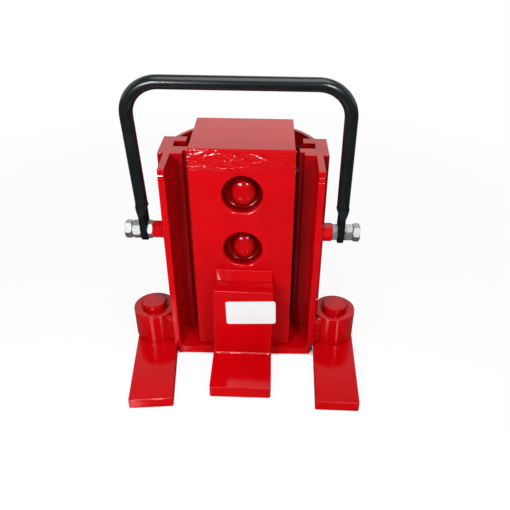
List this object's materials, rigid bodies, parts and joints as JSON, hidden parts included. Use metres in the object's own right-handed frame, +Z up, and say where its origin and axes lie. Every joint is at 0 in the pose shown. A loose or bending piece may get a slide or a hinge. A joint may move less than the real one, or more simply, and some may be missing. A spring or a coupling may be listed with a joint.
{
  "type": "hydraulic toe jack",
  "caption": "Red welded hydraulic toe jack: a guided carriage with head and toe, swivelling feet, carry handle and a built-in hand pump.",
  "frame": {"origin": "on the floor, on the ram's axis", "axes": "+Z up along the lift, -Y towards the toe, +X to the right as seen from the toe's side"},
  "size_m": [0.2798, 0.3187, 0.3518],
  "materials": {
    "red_paint": "gloss",
    "black_paint": "satin",
    "zinc_plate": "zinc plated",
    "machined_steel": "machined",
    "greased_steel": "greased",
    "chrome_rod": "polished",
    "spring_steel": "oiled",
    "seal_rubber": "matt",
    "brass": "turned"
  },
  "bodies": {
    "housing": {"base_plate": "red_paint", "corner_welds": "red_paint", "rear_shell": "red_paint", "left_side_plate": "red_paint", "right_side_plate": "red_paint", "left_front_guide": "red_paint", "right_front_guide": "red_paint", "left_rear_guide": "red_paint", "right_rear_guide": "red_paint", "left_doubler": "red_paint", "right_doubler": "red_paint", "left_hinge_barrel": "red_paint", "right_hinge_barrel": "red_paint", "handle_boss_nuts": "red_paint", "handle_jam_nuts": "zinc_plate", "handle_lock_nuts": "zinc_plate", "handle_bolts": "zinc_plate", "jack_base": "machined_steel", "jack_base_screws": "zinc_plate", "valve_balls": "machined_steel", "valve_plugs": "machined_steel", "cylinder_gasket": "brass", "cylinder_tube": "machined_steel", "tank_tube": "machined_steel", "filler_plug": "seal_rubber", "tank_cap": "machined_steel", "rod_wiper": "seal_rubber", "pump_barrel": "machined_steel", "pump_gland_nut": "brass", "fulcrum_lugs": "red_paint", "fulcrum_pin": "zinc_plate", "spring_anchors": "zinc_plate", "left_return_spring": "spring_steel", "right_return_spring": "spring_steel"},
    "carriage": {"carriage_front_plate": "red_paint", "left_carriage_side": "red_paint", "right_carriage_side": "red_paint", "head_plate": "red_paint", "left_guide_key": "greased_steel", "right_guide_key": "greased_steel", "toe": "red_paint", "dome_plugs": "red_paint", "ram": "chrome_rod", "piston": "machined_steel", "piston_seal": "seal_rubber", "spring_hangers": "red_paint"},
    "left_foot": {"left_leg_plate": "red_paint", "left_leg_pin": "red_paint", "left_pin_clip": "red_paint"},
    "right_foot": {"right_leg_plate": "red_paint", "right_leg_pin": "red_paint", "right_pin_clip": "red_paint"},
    "handle": {"carry_handle": "black_paint"},
    "rocker": {"pump_rocker": "red_paint"},
    "plunger": {"pump_plunger": "machined_steel", "plunger_pin": "zinc_plate"},
    "release_valve": {"release_screw": "machined_steel", "release_knob": "machined_steel"}
  },
  "joints": [
    {"name": "lift", "type": "slide", "parent": "housing", "child": "carriage", "axis": [0, 0, 1], "range_m": [0, 0.13], "deforming": ["left_return_spring", "right_return_spring"]},
    {"name": "left_foot_swivel", "type": "hinge", "parent": "housing", "child": "left_foot", "pos_m": [-0.1139, -0.0411, 0.03], "axis": [0, 0, 1], "range_deg": [-180, 0]},
    {"name": "right_foot_swivel", "type": "hinge", "parent": "housing", "child": "right_foot", "pos_m": [0.1139, -0.0411, 0.03], "axis": [0, 0, 1], "range_deg": [-3, 180]},
    {"name": "handle_swing", "type": "hinge", "parent": "housing", "child": "handle", "pos_m": [0, -0.057, 0.1754], "axis": [1, 0, 0], "range_deg": [-78, 115]},
    {"name": "rocker_pivot", "type": "hinge", "parent": "housing", "child": "rocker", "pos_m": [0, 0.047, 0.105], "axis": [1, 0, 0], "range_deg": [0, 40]},
    {"name": "plunger_slide", "type": "slide", "parent": "housing", "child": "plunger", "axis": [0, 0, 1], "range_m": [0, 0.01388]},
    {"name": "release_turn", "type": "hinge", "parent": "housing", "child": "release_valve", "pos_m": [-0.02, 0.08, 0.025], "axis": [0, 1, 0], "range_deg": [0, 270]}
  ],
  "couplings": [
    {"joint": "plunger_slide", "follows": "rocker_pivot", "m_per_rad": 0.019596}
  ]
}
